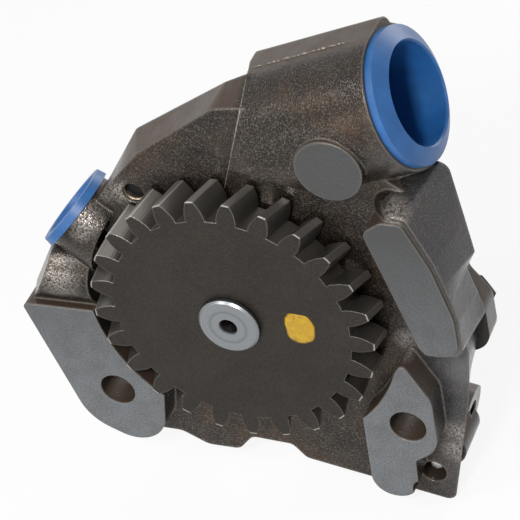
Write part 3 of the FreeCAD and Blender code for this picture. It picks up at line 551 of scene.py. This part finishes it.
# points axisAt + s * along + radius * up for s along the boss, carrying circles of uneven size
def makeRidge(look, boss):
    along, up, front = leaningAxis(boss["lean"])
    s = np.linspace(look["from"], look["to"], look["steps"])[:, None]
    line = np.array(boss["axisAt"]) + boss["radius"] * up + s * along
    step = np.arange(look["steps"])
    ragged = 0.5 + 0.35 * np.sin(0.8 * step + 2.0 * np.sin(0.23 * step)) + 0.15 * np.sin(0.31 * step)
    radii = look["bead"] * np.maximum(ragged, 0.1) * tapered(look["steps"])
    return makeTube("crownRidge", ringsAlong(line, radii, up, front, 10))


ridge = makeRidge(crownRidge, portBoss)
dress(ridge, plain["ironFlashGround"])
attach(ridge, "casing")
print("crown ridge laid")


# relief spring, wound again as a smooth coil; metres and degrees
reliefCoil = {"mouth": (0.0676, 0.043, -0.0341), "lean": -13, "near": 0.0097, "length": 0.04015, "coilR": 0.0048,
              "wireR": 0.00075, "turns": 6, "lift": 0.006}


# a circle of the wire's radius carried along a helix round the valve's axis, from the cup inwards
def makeCoil(look):
    outward, up, front = leaningAxis(look["lean"])
    turn = np.linspace(0, 2 * np.pi * look["turns"], 40 * look["turns"])[:, None]
    depth = look["near"] + look["wireR"] + (look["length"] - 2 * look["wireR"]) * turn / turn[-1]
    out = np.cos(turn) * up + np.sin(turn) * front
    centre = np.array(look["mouth"]) - depth * outward + look["coilR"] * out
    radii = np.full(len(turn), look["wireR"])
    return makeTube("reliefSpringCoil", ringsAlong(centre, radii, out[:, None, :], -outward, 12))


spring = makeCoil(reliefCoil)
dress(spring, plain["springSteelDrawn"])
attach(spring, "casing")
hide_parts("relief_spring")
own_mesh(spring)
print("relief spring wound")


# 1 where a ray comes from the camera, straight or by way of gloss or glass
def addSeen(add):
    ray = add("LightPath", out=None)
    seen = add("Math", {0: ray["Is Camera Ray"], 1: ray["Is Glossy Ray"]}, operation="MAXIMUM")
    return add("Math", {0: seen, 1: ray["Is Transmission Ray"]}, operation="MAXIMUM")


# plain paper floor that glows white to the eye and still takes the shadow
floorLook = {"z": cadBox[0][2] - 0.0002, "size": 6.0, "paper": "#f6f6f6", "glow": 0.88}


def makeFloor(look):
    s, z = look["size"] / 2, look["z"]
    mesh = bpy.data.meshes.new("floor")
    mesh.from_pydata([(-s, -s, z), (s, -s, z), (s, s, z), (-s, s, z)], [], [(0, 1, 2, 3)])
    floor = bpy.data.objects.new("floor", mesh)
    bpy.context.scene.collection.objects.link(floor)
    material, add = newMaterial("paperPlain")
    matt = add("BsdfDiffuse", {"Color": linearFromHex(look["paper"])})
    lit = add("Emission", {"Color": (1, 1, 1, 1), "Strength": 1.0})
    share = add("Math", {0: addSeen(add), 1: look["glow"]}, operation="MULTIPLY")
    mixed = add("MixShader", {0: share, 1: matt, 2: lit})
    add("OutputMaterial", {"Surface": mixed}, out=None)
    dress(floor, material)


# white room to the eye and in reflections, and a weak cool light on everything
roomLook = {"soft": (0.93, 0.96, 1.0, 1), "softStrength": 0.22, "white": (1, 1, 1, 1), "whiteStrength": 1.0}


def makeRoom(look):
    world = bpy.data.worlds.new("studio")
    bpy.context.scene.world = world
    world.use_nodes = True
    world.node_tree.nodes.clear()
    add = functools.partial(addNode, world.node_tree)
    soft = add("Background", {"Color": look["soft"], "Strength": look["softStrength"]})
    white = add("Background", {"Color": look["white"], "Strength": look["whiteStrength"]})
    mixed = add("MixShader", {0: addSeen(add), 1: soft, 2: white})
    add("OutputWorld", {"Surface": mixed}, out=None)


# square lamps: place and size in metres, power in watts
lamps = {
    "keyBesideCamera": {"at": (0.16, -0.70, 0.72), "size": 0.13, "watts": 6.0, "tint": (1.0, 0.98, 0.96)},
    "upperLeft": {"at": (-0.60, -0.70, 1.00), "size": 0.30, "watts": 5.0, "tint": (1.0, 0.98, 0.95)},
    "lowLeft": {"at": (-0.35, -0.85, 0.20), "size": 0.15, "watts": 0.8, "tint": (1.0, 0.98, 0.95)},
    "fillLow": {"at": (0.20, -0.80, 0.06), "size": 0.5, "watts": 0.9, "tint": (0.93, 0.96, 1.0)},
    "behind": {"at": (0.25, 0.95, 0.40), "size": 0.5, "watts": 4.0, "tint": (1.0, 1.0, 1.0)},
    "backLeft": {"at": (-0.65, 0.70, 0.04), "size": 0.35, "watts": 0.6, "tint": (1.0, 1.0, 1.0)},
}
lampTarget = (0.0, 0.0, 0.05)


# turns +Z of an object away from a target, by an orthonormal basis of the line of sight
def aim(obj, at, target, roll=0.0):
    back = np.array(at, float) - np.array(target, float)
    back /= np.linalg.norm(back)
    side = np.cross((0, 0, 1), back)
    side /= np.linalg.norm(side)
    top = np.cross(back, side)
    r = math.radians(roll)
    turnedSide = side * math.cos(r) + top * math.sin(r)
    turnedTop = np.cross(back, turnedSide)
    matrix = np.eye(4)
    matrix[:3, 0], matrix[:3, 1], matrix[:3, 2], matrix[:3, 3] = turnedSide, turnedTop, back, at
    obj.matrix_world = Matrix(matrix.tolist())


def makeLamps(settings, target):
    for name, look in settings.items():
        lamp = bpy.data.lights.new(name, "AREA")
        lamp.energy = look["watts"]
        lamp.size = look["size"]
        lamp.color = look["tint"]
        obj = bpy.data.objects.new(name, lamp)
        bpy.context.scene.collection.objects.link(obj)
        aim(obj, look["at"], target)


# camera where the photograph was taken from: metres, degrees, and a lens in mm on a 36 mm sensor
cameraLook = {"target": (0.00672, 0.01227, 0.06394), "distance": 0.925, "azimuth": 27.65, "elevation": 37.68,
              "roll": -11.75, "lens": 173.08}


def makeCamera(look):
    a, e = math.radians(look["azimuth"]), math.radians(look["elevation"])
    back = np.array([math.sin(a) * math.cos(e), -math.cos(a) * math.cos(e), math.sin(e)])
    data = bpy.data.cameras.new("camera")
    data.lens = look["lens"]
    data.sensor_width = 36.0
    data.clip_start = 0.01
    data.clip_end = 50.0
    obj = bpy.data.objects.new("camera", data)
    bpy.context.scene.collection.objects.link(obj)
    aim(obj, np.array(look["target"]) + back * look["distance"], look["target"], look["roll"])
    bpy.context.scene.camera = obj


makeFloor(floorLook)
makeRoom(roomLook)
makeLamps(lamps, lampTarget)
makeCamera(cameraLook)
bpy.context.scene.view_settings.view_transform = "Standard"
print("stage, lamps and camera ready")

bpy.context.view_layer.update()
